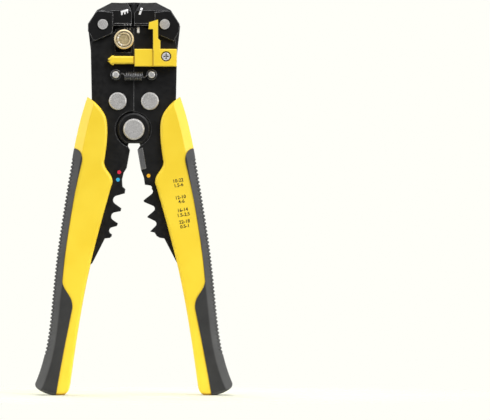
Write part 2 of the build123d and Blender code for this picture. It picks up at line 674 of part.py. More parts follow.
def handle_blank(half_thickness):
    """Handle solid with a broad facet along its outer edge and rounded rims elsewhere."""
    blank = slab(handle_outline(), -half_thickness, half_thickness)
    for front in (True, False):
        face = edge_face(blank, front)
        outer_edge = face.edges().sort_by(SortBy.LENGTH)[-1]
        blank = chamfer([outer_edge], FACET_WIDTH, FACET_DEPTH, reference=face)
    for front in (True, False):
        rims = edge_face(blank, front).edges().sort_by(SortBy.LENGTH)[:-1]
        blank = fillet(rims, HANDLE_ROUNDING)
    return blank


def handle_shell(side):
    """Hard moulded part of the handle."""
    shell = handle_blank(SHELL_HALF) - slab(grip_zone(), -SHELL_HALF, SHELL_HALF)
    return on_side(side, shell - slab(half_shape(side), PLATE_FRONT, PLATE_BACK))


def grip(side):
    """Soft part of the handle, a little thicker than the shell."""
    soft = handle_blank(GRIP_HALF) & slab(grip_zone(), -GRIP_HALF, GRIP_HALF)
    return on_side(side, soft - slab(half_shape(side), PLATE_FRONT, PLATE_BACK))


# ---- write every piece ----

os.makedirs("parts", exist_ok=True)

save("pivot_bolt", pivot_bolt())
save("front_pivot_washer", washer(PLATE_FRONT, CORE_FRONT - LAP_GAP))
save("rear_pivot_washer", washer(CORE_BACK + LAP_GAP, PLATE_BACK))
save("lock_nut", lock_nut())
save("lock_nut_ring", lock_nut_ring())
save("front_return_spring", return_spring(*FRONT_SPRING, FRONT_HOOK_Y))
save("rear_return_spring", return_spring(*REAR_SPRING, REAR_HOOK_Y))

for side in ("left", "right"):
    save(side + "_front_plate", front_plate(side))
    save(side + "_core_plate", core_plate(side))
    save(side + "_back_plate", back_plate(side))
    save(side + "_head_rivet", head_rivet(side))
    save(side + "_spring_post", spring_post(side))
    save(side + "_jaw_pin", jaw_pin(side))
    save(side + "_lower_jaw", lower_jaw(side))
    save(side + "_upper_jaw", upper_jaw(side))
    save(side + "_upper_pad", upper_pad(side))
    save(side + "_rear_cover", rear_cover(side))
    save(side + "_cover_screw", cover_screw(side))
    save(side + "_handle_shell", handle_shell(side))
    save(side + "_grip", grip(side))

save("cutter_blade", cutter_blade())
save("lower_stripping_blade", lower_stripping_blade())
save("upper_stripping_blade", upper_stripping_blade())
save("tension_knob", tension_knob())
save("length_stop", length_stop())
save("stop_screw", stop_screw())
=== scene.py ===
import json
import math

import bmesh
import bpy
from mathutils import Matrix, Vector
from mathutils.bvhtree import BVHTree

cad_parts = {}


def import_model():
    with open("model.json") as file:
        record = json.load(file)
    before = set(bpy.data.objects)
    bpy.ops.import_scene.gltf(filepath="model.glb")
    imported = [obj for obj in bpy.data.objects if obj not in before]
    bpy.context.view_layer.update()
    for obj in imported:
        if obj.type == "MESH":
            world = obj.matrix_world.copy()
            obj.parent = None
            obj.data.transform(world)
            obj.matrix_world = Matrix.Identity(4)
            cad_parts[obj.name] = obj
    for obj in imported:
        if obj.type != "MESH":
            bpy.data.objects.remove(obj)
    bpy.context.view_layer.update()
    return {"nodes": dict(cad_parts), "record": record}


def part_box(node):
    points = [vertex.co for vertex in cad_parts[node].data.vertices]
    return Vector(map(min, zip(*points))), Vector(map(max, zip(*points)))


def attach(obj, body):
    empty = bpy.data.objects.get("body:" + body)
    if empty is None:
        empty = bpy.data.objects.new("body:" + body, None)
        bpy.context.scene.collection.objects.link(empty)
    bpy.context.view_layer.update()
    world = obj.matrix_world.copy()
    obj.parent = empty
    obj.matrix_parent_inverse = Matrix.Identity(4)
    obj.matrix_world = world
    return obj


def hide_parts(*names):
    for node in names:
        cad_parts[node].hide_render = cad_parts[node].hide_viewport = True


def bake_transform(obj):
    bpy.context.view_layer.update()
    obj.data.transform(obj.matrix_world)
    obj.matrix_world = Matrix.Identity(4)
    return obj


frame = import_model()

# All sizes are in metres. MM turns millimetres into them.
MM = 0.001

# The pivot's axis and the faces that the painted and printed marks lie on, from the frame
bolt_low, bolt_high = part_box("pivot_bolt")
PIVOT = Vector(((bolt_low.x + bolt_high.x) / 2, 0.0, (bolt_low.z + bolt_high.z) / 2))
PLATE_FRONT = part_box("left_front_plate")[0].y
SHELL_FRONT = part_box("right_handle_shell")[0].y


# ---- node helpers ----

class Nodes:
    """A node tree that is built up call by call."""

    def __init__(self, tree):
        self.tree = tree

    def add(self, kind, **values):
        """A node with its properties and unlinked inputs set by name, underscores for spaces."""
        node = self.tree.nodes.new(kind)
        for name, value in values.items():
            label = name.replace("_", " ")
            if label in node.inputs:
                node.inputs[label].default_value = value
            else:
                setattr(node, name, value)
        return node

    def join(self, source, target):
        self.tree.links.new(source, target)


class Shader(Nodes):
    """A surface material with helpers for masks, colours and bumps."""

    def __init__(self, name):
        self.material = bpy.data.materials.new(name)
        self.material.use_nodes = True
        super().__init__(self.material.node_tree)
        self.bsdf = self.tree.nodes["Principled BSDF"]
        self.place = self.add("ShaderNodeTexCoord").outputs["Object"]

    def set(self, **values):
        """Principled inputs, with underscores for spaces."""
        for name, value in values.items():
            self.bsdf.inputs[name.replace("_", " ")].default_value = value

    def noise(self, scale, detail=3.0, stretch=None):
        """Noise of about one feature per 1/scale metres; stretch scales the axes."""
        node = self.add("ShaderNodeTexNoise", Scale=scale, Detail=detail)
        if stretch is None:
            self.join(self.place, node.inputs["Vector"])
        else:
            mapping = self.add("ShaderNodeMapping", Scale=stretch)
            self.join(self.place, mapping.inputs["Vector"])
            self.join(mapping.outputs["Vector"], node.inputs["Vector"])
        return node.outputs["Fac"]

    def ramp(self, source, low, high, low_at=0.35, high_at=0.65):
        """Colour or grey between two values as source goes from low_at to high_at."""
        node = self.add("ShaderNodeValToRGB")
        stops = node.color_ramp.elements
        for stop, value, position in ((stops[0], low, low_at), (stops[1], high, high_at)):
            stop.position = position
            stop.color = (*value, 1.0) if isinstance(value, tuple) else (value,) * 3 + (1.0,)
        self.join(source, node.inputs["Fac"])
        return node.outputs["Color"]

    def mix(self, mask, first, second):
        """Colour mix of two sockets or plain colours by a mask socket."""
        node = self.add("ShaderNodeMix", data_type="RGBA")
        factor, first_input, second_input = node.inputs[0], node.inputs[6], node.inputs[7]
        self.join(mask, factor)
        for socket, value in ((first_input, first), (second_input, second)):
            if isinstance(value, tuple):
                socket.default_value = (*value, 1.0)
            else:
                self.join(value, socket)
        return node.outputs[2]

    def math(self, operation, first, second=None):
        """Result of a calculation with sockets or numbers, kept within 0 and 1."""
        node = self.add("ShaderNodeMath", operation=operation, use_clamp=True)
        for socket, value in zip(node.inputs, (first, second)):
            if value is None:
                continue
            if isinstance(value, (int, float)):
                socket.default_value = value
            else:
                self.join(value, socket)
        return node.outputs[0]

    def spots(self, source, low_at, high_at, share):
        """Mask of the places where source is high, at most the share strong."""
        return self.math("MULTIPLY", self.ramp(source, 0.0, 1.0, low_at, high_at), share)

    def rounded(self, radius):
        """Shading normal that rounds sharp edges by a radius."""
        return self.add("ShaderNodeBevel", samples=6, Radius=radius).outputs["Normal"]

    def edges(self, radius, sharpness=6.0, share=1.0):
        """Mask of the sharp edges, at most the share strong, and 0 on flat faces."""
        geometry = self.add("ShaderNodeNewGeometry")
        dot = self.add("ShaderNodeVectorMath", operation="DOT_PRODUCT")
        self.join(self.rounded(radius), dot.inputs[0])
        self.join(geometry.outputs["Normal"], dot.inputs[1])
        turn = self.math("SUBTRACT", 1.0, dot.outputs["Value"])
        return self.math("MULTIPLY", self.math("MULTIPLY", turn, sharpness), share)

    def crevice(self, color, distance, shade):
        """The colour, darkened into painted shade where other surfaces are close."""
        occlusion = self.add("ShaderNodeAmbientOcclusion", samples=8, Distance=distance)
        mask = self.ramp(occlusion.outputs["AO"], 1.0, 0.0, low_at=0.35, high_at=0.85)
        return self.mix(mask, color, shade)

    def bump(self, height, depth, normal=None):
        """Bump from a height socket; depth is in metres."""
        node = self.add("ShaderNodeBump", Strength=1.0, Distance=depth)
        self.join(height, node.inputs["Height"])
        if normal is not None:
            self.join(normal, node.inputs["Normal"])
        return node.outputs["Normal"]

    def finish(self, color, roughness, normal):
        """Links what was built to the surface and gives the material."""
        for value, name in ((color, "Base Color"), (roughness, "Roughness"), (normal, "Normal")):
            self.join(value, self.bsdf.inputs[name])
        return self.material


# ---- materials ----

# Colours are linear red, green and blue. Narrow gaps between dark pieces fade to this one, a
# painted shade.
PAINTED_GAP_SHADE = (0.001, 0.001, 0.001)


def darker(color, share):
    """A colour with only a share of its brightness."""
    return tuple(share * channel for channel in color)


def coated_steel(name, shade, rubbed_and_highlit, grain_depth, roughness, gloss):
    """Black-finished steel: fine grain, faint smudges, paler edges that are partly worn by rubbing
    and partly a painted highlight, and painted shade in the gaps.
    """
    shader = Shader(name)
    grain = shader.noise(5200.0, 4.0)
    smudge = shader.noise(160.0)
    speck_grey = (0.10, 0.10, 0.105)
    base = shader.ramp(smudge, darker(shade, 0.72), shade)
    base = shader.mix(shader.spots(grain, 0.62, 0.72, share=0.12), base, speck_grey)
    # Paler edges, partly worn by rubbing and partly a painted highlight where light catches them.
    edge_patches = shader.ramp(shader.noise(700.0), 0.3, 1.0, low_at=0.4, high_at=0.6)
    rub_and_highlight_mask = shader.math("MULTIPLY", shader.edges(0.35 * MM), edge_patches)
    base = shader.mix(rub_and_highlight_mask, base, rubbed_and_highlit)
    # Painted shade where other pieces come close.
    base = shader.crevice(base, 0.9 * MM, PAINTED_GAP_SHADE)
    rough = shader.ramp(shader.noise(420.0), roughness - 0.07, roughness + 0.08)
    normal = shader.bump(grain, grain_depth, shader.rounded(0.22 * MM))
    shader.set(Specular_IOR_Level=gloss)
    return shader.finish(base, rough, normal)


def bright_steel(name, dull, clean, metallic):
    """Tumbled or plated steel, with painted highlights on its edges and painted shade in its
    corners.
    """
    shader = Shader(name)
    peel = shader.noise(2600.0)
    grime_grey = (0.25, 0.24, 0.23)
    edge_highlight_white = (1.0, 0.99, 0.96)
    painted_shade_grey = (0.03, 0.03, 0.03)
    base = shader.ramp(peel, dull, clean)
    base = shader.mix(shader.spots(shader.noise(500.0), 0.55, 0.8, share=0.35), base, grime_grey)
    # Painted highlight on the edges.
    base = shader.mix(shader.edges(0.4 * MM, 14.0), base, edge_highlight_white)
    # Painted shade in the corners.
    base = shader.crevice(base, 0.9 * MM, painted_shade_grey)
    rough = shader.ramp(peel, 0.3, 0.5)
    normal = shader.bump(peel, 0.03 * MM, shader.rounded(0.2 * MM))
    shader.set(Metallic=metallic)
    return shader.finish(base, rough, normal)


def blade_steel():
    """Ground hardened steel with fine lines along the blade and painted highlights on its edges.
    """
    shader = Shader("blade_steel")
    lines = shader.noise(900.0, 2.0, stretch=(12.0, 12.0, 0.6))
    line_dark = (0.17, 0.17, 0.175)
    line_pale = (0.33, 0.33, 0.335)
    edge_highlight_grey = (0.7, 0.7, 0.7)
    base = shader.ramp(lines, line_dark, line_pale, 0.25, 0.75)
    # Painted highlight on the edges.
    base = shader.mix(shader.edges(0.25 * MM, 5.0), base, edge_highlight_grey)
    rough = shader.ramp(lines, 0.34, 0.5)
    normal = shader.bump(lines, 0.01 * MM, shader.rounded(0.15 * MM))
    shader.set(Metallic=0.85)
    return shader.finish(base, rough, normal)


def spring_steel():
    """Dark oiled spring wire, with painted shade between the coils."""
    shader = Shader("spring_steel")
    film = shader.noise(1400.0)
    wire_dark = (0.07, 0.07, 0.073)
    wire_pale = (0.20, 0.20, 0.205)
    painted_shade_between_coils = (0.012, 0.012, 0.012)
    base = shader.ramp(film, wire_dark, wire_pale)
    # Painted shade between the coils.
    base = shader.crevice(base, 0.7 * MM, painted_shade_between_coils)
    shader.set(Metallic=0.8)
    return shader.finish(base, shader.ramp(film, 0.26, 0.42), shader.bump(film, 0.006 * MM))


def brass():
    """Turned brass: turning rings round the knob's axis, dull patches, a lighter outer zone and
    rim and bright edges painted as highlights, and painted shade in the corners.
    """
    shader = Shader("brass")
    low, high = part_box("tension_knob")
    radius = (high.x - low.x) / 2
    mapping = shader.add("ShaderNodeMapping", Location=-(low + high) / 2)
    shader.join(shader.place, mapping.inputs["Vector"])
    flat = shader.add("ShaderNodeVectorMath", operation="MULTIPLY")
    shader.join(mapping.outputs["Vector"], flat.inputs[0])
    flat.inputs[1].default_value = (1.0, 0.0, 1.0)
    reach = shader.add("ShaderNodeVectorMath", operation="LENGTH")
    shader.join(flat.outputs["Vector"], reach.inputs[0])
    share_of_radius = shader.math("DIVIDE", reach.outputs["Value"], radius)
    # Painted highlights: a lighter outer zone and a lighter rim on the knob's face.
    outer_highlight_mask = shader.spots(share_of_radius, 0.55, 0.57, share=0.8)
    rim = shader.spots(share_of_radius, 0.80, 0.83, share=0.7)
    turned = shader.add("ShaderNodeTexWave", wave_type="RINGS", rings_direction="Y",
                        Scale=900.0, Distortion=1.5, Detail=2.0)
    shader.join(mapping.outputs["Vector"], turned.inputs["Vector"])
    tarnish = shader.noise(650.0, 4.0)
    dull_brass = (0.46, 0.36, 0.18)
    clean_brass = (0.80, 0.65, 0.37)
    outer_highlight_brass = (0.95, 0.74, 0.40)
    rim_highlight_brass = (0.86, 0.70, 0.42)
    edge_highlight_brass = (1.0, 0.90, 0.68)
    painted_shade_brown = (0.16, 0.11, 0.04)
    base = shader.ramp(tarnish, dull_brass, clean_brass, 0.3, 0.62)
    base = shader.mix(outer_highlight_mask, base, outer_highlight_brass)
    base = shader.mix(rim, base, rim_highlight_brass)
    # Painted highlight on the edges.
    base = shader.mix(shader.edges(0.35 * MM, 5.0), base, edge_highlight_brass)
    # Painted shade in the corners.
    base = shader.crevice(base, 0.8 * MM, painted_shade_brown)
    rough = shader.ramp(tarnish, 0.42, 0.27)
    normal = shader.bump(turned.outputs["Fac"], 0.012 * MM, shader.rounded(0.2 * MM))
    shader.set(Metallic=0.45)
    return shader.finish(base, rough, normal)


def moulded_yellow():
    """Moulded yellow plastic with a faint orange-peel skin, painted highlights along its edges and
    painted shade in its corners.
    """
    shader = Shader("moulded_yellow")
    cloud = shader.noise(60.0, 2.0)
    peel = shader.noise(1900.0, 2.0)
    streaks = shader.noise(2600.0, stretch=(1.0, 1.0, 0.25))
    deep_yellow = (0.94, 0.665, 0.034)
    warm_yellow = (0.98, 0.715, 0.046)
    scuff_yellow = (0.97, 0.80, 0.24)
    edge_highlight_yellow = (1.0, 0.80, 0.16)
    painted_shade_orange = (0.55, 0.27, 0.008)
    base = shader.ramp(cloud, deep_yellow, warm_yellow)
    base = shader.mix(shader.spots(streaks, 0.66, 0.78, share=0.10), base, scuff_yellow)
    # Painted highlight along the edges.
    base = shader.mix(shader.edges(0.7 * MM, 2.4, share=0.5), base, edge_highlight_yellow)
    # Painted shade in the corners.
    base = shader.crevice(base, 1.6 * MM, painted_shade_orange)
    rough = shader.ramp(peel, 0.38, 0.46)
    normal = shader.bump(peel, 0.008 * MM, shader.rounded(0.5 * MM))
    shader.set(Specular_IOR_Level=0.42)
    return shader.finish(base, rough, normal)


def soft_grip():
    """Dark grey elastomer: the outer side face is painted lighter and the flat front darker, as
    painted light and shade by the way each faces, and the grooves are painted dark as shade.
    """
    shader = Shader("soft_grip")
    grain = shader.noise(3800.0, 4.0)
    patch = shader.noise(120.0, 2.0)
    speck_grey = (0.17, 0.17, 0.17)
    painted_groove_shade = (0.012, 0.012, 0.012)
    # Painted light and shade: the side face is lighter and the flat front darker, chosen by which
    # way the surface faces.
    painted_shade_front = shader.ramp(patch, (0.026, 0.026, 0.027), (0.033, 0.033, 0.034))
    painted_light_side = shader.ramp(patch, (0.064, 0.064, 0.065), (0.076, 0.076, 0.077))
    geometry = shader.add("ShaderNodeNewGeometry")
    split = shader.add("ShaderNodeSeparateXYZ")
    shader.join(geometry.outputs["Normal"], split.inputs[0])
    light_by_direction = shader.ramp(shader.math("ABSOLUTE", split.outputs["Y"]), 0.0, 1.0, 0.88, 0.97)
    base = shader.mix(light_by_direction, painted_light_side, painted_shade_front)
    base = shader.mix(shader.spots(grain, 0.6, 0.75, share=0.2), base, speck_grey)
    groove = shader.add("ShaderNodeAttribute", attribute_name="groove").outputs["Fac"]
    # Painted shade in the grooves.
    base = shader.mix(shader.math("MULTIPLY", groove, 0.9), base, painted_groove_shade)
    shader.set(Specular_IOR_Level=0.3, Sheen_Weight=0.1)
    return shader.finish(base, shader.ramp(grain, 0.62, 0.8), shader.bump(grain, 0.035 * MM))


def cover_plastic():
    """Black plastic with a spark-eroded grain, a paler rim painted as a highlight, and painted
    shade in the gaps.
    """
    shader = Shader("cover_plastic")
    grain = shader.noise(3300.0, 5.0)
    cloud = shader.noise(90.0)
    speck_grey = (0.08, 0.08, 0.083)
    rim_highlight_grey = (0.20, 0.20, 0.205)
    base = shader.ramp(cloud, (0.013, 0.013, 0.014), (0.020, 0.020, 0.021))
    base = shader.mix(shader.spots(grain, 0.55, 0.75, share=0.16), base, speck_grey)
    # Painted highlight on the rim.
    base = shader.mix(shader.edges(0.4 * MM, 3.0, share=0.7), base, rim_highlight_grey)
    # Painted shade in the gaps.
    base = shader.crevice(base, 1.2 * MM, PAINTED_GAP_SHADE)
    rough = shader.ramp(grain, 0.30, 0.38)
    normal = shader.bump(grain, 0.006 * MM, shader.rounded(0.3 * MM))
    shader.set(Specular_IOR_Level=0.6)
    return shader.finish(base, rough, normal)


def nylon():
    """Dark nylon of the lock nut's ring."""
    shader = Shader("nylon")
    grain = shader.noise(2400.0)
    base = shader.ramp(grain, (0.03, 0.03, 0.035), (0.06, 0.06, 0.066))
    return shader.finish(base, shader.ramp(grain, 0.4, 0.55), shader.bump(grain, 0.01 * MM))


def paint(name, color, roughness=0.35):
    """Thin paint or ink with a slightly uneven film."""
    shader = Shader(name)
    film = shader.noise(2500.0)
    base = shader.ramp(film, darker(color, 0.78), color, 0.3, 0.6)
    rough = shader.ramp(film, roughness, roughness + 0.15)
    return shader.finish(base, rough, shader.bump(film, 0.01 * MM))


MATERIALS = {
    "black_steel": coated_steel(
        "black_steel", shade=(0.0085, 0.0085, 0.009), rubbed_and_highlit=(0.32, 0.32, 0.33),
        grain_depth=0.012 * MM, roughness=0.40, gloss=0.36),
    "jaw_steel": coated_steel(
        "jaw_steel", shade=(0.007, 0.007, 0.0075), rubbed_and_highlit=(0.55, 0.55, 0.56),
        grain_depth=0.03 * MM, roughness=0.56, gloss=0.16),
    "bright_steel": bright_steel(
        "bright_steel", dull=(0.40, 0.39, 0.385), clean=(0.70, 0.69, 0.685), metallic=0.4),
    "plated_steel": bright_steel(
        "plated_steel", dull=(0.74, 0.73, 0.72), clean=(0.97, 0.96, 0.95), metallic=0.5),
    "blade_steel": blade_steel(),
    "spring_steel": spring_steel(),
    "brass": brass(),
    "yellow_plastic": moulded_yellow(),
    "grip_rubber": soft_grip(),
    "cover_plastic": cover_plastic(),
    "nylon": nylon(),
}
SLOT_OF_NODE = {row["node"]: row["material_slot"] for row in frame["record"]["subparts"]}


def dress(obj, material):
    """Gives an object one material."""
    obj.data.materials.clear()
    obj.data.materials.append(material)


def dress_cad_nodes():
    """Every CAD node takes the material of its slot; screws and nut are plated."""
    for name, node in frame["nodes"].items():
        plated = name.endswith("_screw") or name == "lock_nut"
        dress(node, MATERIALS["plated_steel" if plated else SLOT_OF_NODE[name]])


# ---- mesh helpers ----

def piece_from_bmesh(name, bm, material, body=None, smooth=True):
    """Turns a bmesh into a piece; with a body it rides on that body."""
    bmesh.ops.recalc_face_normals(bm, faces=bm.faces)
    mesh = bpy.data.meshes.new(name)
    bm.to_mesh(mesh)
    bm.free()
    for polygon in mesh.polygons:
        polygon.use_smooth = smooth
    obj = bpy.data.objects.new(name, mesh)
    bpy.context.scene.collection.objects.link(obj)
    dress(obj, material)
    if body is not None:
        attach(obj, body)
    return obj


def join_rings(bm, first, second):
    """Adds the quads between two closed rings of the same number of vertices."""
    for index in range(len(first)):
        following = (index + 1) % len(first)
        bm.faces.new((first[index], first[following], second[following], second[index]))


def add_tube(bm, path, radius, sides=10):
    """Adds a round tube along a list of points, with flat end caps."""
    rings = []
    last = len(path) - 1
    normal = None
    for index, point in enumerate(path):
        before = path[max(index - 1, 0)]
        after = path[min(index + 1, last)]
        tangent = (after - before).normalized()
        if normal is None:
            normal = tangent.orthogonal().normalized()
        normal = (normal - tangent * normal.dot(tangent)).normalized()
        side = tangent.cross(normal)
        ring = []
        for step in range(sides):
            angle = 2 * math.pi * step / sides
            offset = normal * math.cos(angle) + side * math.sin(angle)
            ring.append(bm.verts.new(point + offset * radius))
        rings.append(ring)
    for first, second in zip(rings, rings[1:]):
        join_rings(bm, first, second)
    bm.faces.new(reversed(rings[0]))
    bm.faces.new(rings[-1])


# ---- springs ----

WIRE_RADIUS = 0.42 * MM
COIL_TURNS = 10
COIL_HALF_LENGTH = 4.5 * MM
COIL_STEPS = 24
HOOK_OPEN = math.radians(35)
HOOK_STEPS = 30
REAR_HOOK_INSET = 1.1 * MM
LEG_REACH = 1.3 * MM
LEG_STEPS = 10


def bezier(start, leave, arrive, end, steps):
    """Points of a cubic curve between two points, without its ends."""
    points = []
    for step in range(1, steps):
        done = step / steps
        left = 1 - done
        points.append(start * left**3 + leave * (3 * left * left * done)
                      + arrive * (3 * left * done * done) + end * done**3)
    return points


def hook_points(centre, radius, side):
    """Open ring round a spring post; it starts and ends beside the coil."""
    points = []
    for step in range(HOOK_STEPS + 1):
        angle = HOOK_OPEN + (2 * math.pi - HOOK_OPEN) * step / HOOK_STEPS
        points.append(centre + Vector((-side * radius * math.cos(angle), 0.0,
                                       -side * radius * math.sin(angle))))
    return points


def spring_halves(node):
    """Wire of one return spring as two lists of points, left and right of the centre plane."""
    low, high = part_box(node)
    post_low, post_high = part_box("right_spring_post")
    post = (post_low + post_high) / 2
    front = node.startswith("front")
    axis_y = (low.y + high.y) / 2
    axis_z = low.z + (high.y - low.y) / 2 if front else post.z
    coil_radius = (high.y - low.y) / 2 - WIRE_RADIUS
    hook_radius = high.x - post.x - WIRE_RADIUS
    hook_y = axis_y if front else axis_y - REAR_HOOK_INSET
    outward = -1.0 if front else 1.0
    steps = COIL_STEPS * COIL_TURNS // 2
    halves = []
    for side in (-1, 1):
        coil = []
        for step in range(steps + 1):
            share = step / steps
            angle = side * math.pi * COIL_TURNS * (1 - share)
            coil.append(Vector((side * COIL_HALF_LENGTH * (1 - share),
                                axis_y + outward * coil_radius * math.cos(angle),
                                axis_z + outward * coil_radius * math.sin(angle))))
        hook = hook_points(Vector((side * post.x, hook_y, post.z)), hook_radius, side)
        heading = (hook[-1] - hook[-2]).normalized() * LEG_REACH
        joining = (coil[1] - coil[0]).normalized() * LEG_REACH
        leg = bezier(hook[-1], hook[-1] + heading, coil[0] - joining, coil[0], LEG_STEPS)
        halves.append(hook + leg + coil)
    return halves


def return_spring(node):
    """Coil spring with hooks, in two halves, left and right of the centre plane."""
    for side_name, points in zip(("left", "right"), spring_halves(node)):
        bm = bmesh.new()
        add_tube(bm, points, WIRE_RADIUS)
        name = side_name + "_" + node.replace("return_spring", "coil")
        half = piece_from_bmesh(name, bm, MATERIALS["spring_steel"])
        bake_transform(half)
        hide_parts(node)


# ---- grips ----

ROWS_PER_RIDGE = 12
RIDGE_PITCH = 1.97 * MM
GROOVE_DEPTH = 0.8 * MM
# A groove is no deeper than this share of the grip's width
GROOVE_WIDTH_SHARE = 0.5
GROOVE_REACH = 6.4 * MM
GROOVE_FADE = 0.5 * MM
GROOVE_RUN_OUT = 4 * MM
GROOVE_TOP = PIVOT.z - 14 * MM
GROOVE_LOW = PIVOT.z - 119 * MM
GRIP_FIRST_ROW = 0.05 * MM
GRIP_RAY_START = 80 * MM
GRIP_PROBE_Y = 5 * MM
GRIP_SKIN = 0.02 * MM
# Where the outer wall is cut, as distances from the middle plane at the full thickness in
# millimetres, and where the two faces are, as shares of the way from the wall to the inside
WALL_Y = (0.0, 2.0, 4.0, 5.2, 5.6, 5.9, 6.3, 6.7, 7.1, 7.7, 8.3)
FACE_SHARES = (0.06, 0.3, 0.6, 0.85, 0.97, 1.0)
WALL_POINTS = 2 * len(WALL_Y) + 1


def surface_of(node):
    """Ray-casting tree of a CAD node."""
    mesh = frame["nodes"][node].data
    points = [v.co.copy() for v in mesh.vertices]
    return BVHTree.FromPolygons(points, [tuple(p.vertices) for p in mesh.polygons])


def groove_at(y, z):
    """Depth of the finger serrations in the outer wall of a grip."""
    if not GROOVE_LOW < z < GROOVE_TOP:
        return 0.0
    ends = min(1.0, (GROOVE_TOP - z) / GROOVE_RUN_OUT, (z - GROOVE_LOW) / GROOVE_RUN_OUT)
    across = min(1.0, max(0.0, (GROOVE_REACH + GROOVE_FADE - abs(y)) / GROOVE_FADE))
    wave = 0.5 + 0.5 * math.cos(2 * math.pi * z / RIDGE_PITCH)
    return GROOVE_DEPTH * ends * across * wave**2


def grip_section(tree, side, z, full_half):
    """Outline of the grip at one height: round the outer wall, then over the two faces."""
    to_inside = Vector((-side, 0, 0))
    outer = tree.ray_cast(Vector((side * GRIP_RAY_START, GRIP_PROBE_Y, z)), to_inside)[0]
    inner = tree.ray_cast(Vector((0, GRIP_PROBE_Y, z)), -to_inside)[0]
    if outer is None or inner is None:
        return None
    inner_x = inner.x + side * GRIP_SKIN
    edge = tree.ray_cast(Vector((inner_x, -GRIP_RAY_START, z)), Vector((0, 1, 0)))[0]
    if edge is None:
        return None
    half = -edge.y
    wall, faces = [], []
    middle_to_back = [y * MM * half / full_half for y in WALL_Y] + [half - GRIP_SKIN]
    front_to_middle = [-y for y in reversed(middle_to_back[1:])]
    for y in front_to_middle + middle_to_back:
        hit = tree.ray_cast(Vector((side * GRIP_RAY_START, y, z)), to_inside)[0]
        if hit is None or abs(hit.x) < abs(inner_x):
            return None
        depth = min(groove_at(y, z), abs(hit.x - inner_x) * GROOVE_WIDTH_SHARE)
        wall.append(Vector((hit.x - side * depth, y, z)))
    for sign, corner in ((1, wall[-1]), (-1, wall[0])):
        run = []
        for share in FACE_SHARES:
            x = corner.x + (inner_x - corner.x) * share
            hit = tree.ray_cast(Vector((x, sign * GRIP_RAY_START, z)), Vector((0, -sign, 0)))[0]
            run.append(Vector((x, hit.y if hit else corner.y, z)))
        faces.append(run)
    return wall + faces[0] + list(reversed(faces[1]))


def soft_grip_piece(side_name, side):
    """Grip with serrations along its outer wall, laid over the CAD grip's own sections."""
    node = side_name + "_grip"
    tree = surface_of(node)
    low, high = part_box(node)
    step = RIDGE_PITCH / ROWS_PER_RIDGE
    bm = bmesh.new()
    groove = bm.verts.layers.float.new("groove")
    rings = []
    for row in range(int((high.z - low.z) / step)):
        section = grip_section(tree, side, low.z + GRIP_FIRST_ROW + row * step, high.y)
        if section is None:
            continue
        rings.append([bm.verts.new(point) for point in section])
        for vert in rings[-1][:WALL_POINTS]:
            vert[groove] = groove_at(vert.co.y, vert.co.z) / GROOVE_DEPTH
    for first, second in zip(rings, rings[1:]):
        join_rings(bm, first, second)
    bm.faces.new(rings[0])
    bm.faces.new(rings[-1])
    grip = piece_from_bmesh(side_name + "_ribbed_grip", bm, MATERIALS["grip_rubber"],
                            side_name + "_half")
    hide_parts(node)


# ---- painted and printed marks ----

FILM_LIFT = 0.03 * MM
FILM_RAY_START = 100 * MM
# How often a mark on a jaw is divided, so that it follows the curved face
JAW_FILM_CUTS = 5

# Name, centre, colour, node and body of each dot. Centres and the outlines of the marks are
# (x, z) points in millimetres from the pivot
DIE_DOTS = (("red", (-7.6, -22.4), (0.80, 0.03, 0.08), "left_front_plate", "left_half"),
            ("blue", (-8.3, -26.3), (0.05, 0.50, 0.90), "left_front_plate", "left_half"),
            ("orange", (7.7, -24.2), (0.98, 0.50, 0.02), "right_front_plate", "right_half"))
DOT_RADIUS = 1.0
KNOB_MARK_ANGLES = (136, 162, 209, 246)
KNOB_MARK_REACH = 3.2
KNOB_MARK_RADIUS = 0.6
KNOB_MARK_CORNERS = 14
LEFT_JAW_COMB = (((-6.6, 60.6), (-2.95, 61.6), (-3.0, 62.7), (-6.9, 61.65)),
                 ((-6.6, 59.5), (-5.8, 59.7), (-5.7, 60.9), (-6.6, 60.7)),
                 ((-5.0, 59.9), (-4.3, 60.1), (-4.3, 61.3), (-5.0, 61.1)),
                 ((-3.5, 60.5), (-2.9, 60.7), (-2.95, 61.7), (-3.6, 61.5)))
RIGHT_JAW_BAR = ((2.5, 59.9), (3.45, 59.6), (4.75, 63.1), (3.7, 63.5))
BLADE_LIP = ((1.7, 50.4), (2.95, 50.4), (2.95, 53.35), (1.7, 53.35))
# Each of the left jaws' three teeth: its x, and the marks below and above it
TOOTH_X = (-4.7, -3.3, -1.9)
LOWER_TOOTH_MARK = ((-0.5, 52.0), (0.35, 52.0), (0.1, 52.95), (-0.2, 52.95))
UPPER_TOOTH_MARK = ((-0.05, 54.1), (0.2, 54.1), (0.4, 54.8), (-0.35, 54.8))


def decal(name, outlines, node, material, body, cuts=0):
    """Thin film laid on the front of a CAD node, from (x, z) outlines about the pivot.

    A point beside the node lies level with the front plates."""
    tree = surface_of(node)
    bm = bmesh.new()
    for outline in outlines:
        bm.faces.new([bm.verts.new((PIVOT.x + x * MM, 0.0, PIVOT.z + z * MM)) for x, z in outline])
    if cuts:
        bmesh.ops.triangulate(bm, faces=bm.faces)
        bmesh.ops.subdivide_edges(bm, edges=bm.edges, cuts=cuts, use_grid_fill=True)
    for vert in bm.verts:
        hit = tree.ray_cast(Vector((vert.co.x, -FILM_RAY_START, vert.co.z)), Vector((0, 1, 0)))[0]
        vert.co.y = (hit.y if hit else PLATE_FRONT) - FILM_LIFT
    piece_from_bmesh(name, bm, material, body, smooth=False)


def ring_outline(centre, radius, corners=28):
    """Points of a circle about an (x, z) point."""
    points = []
    for corner in range(corners):
        angle = 2 * math.pi * corner / corners
        points.append((centre[0] + radius * math.cos(angle), centre[1] + radius * math.sin(angle)))
    return points


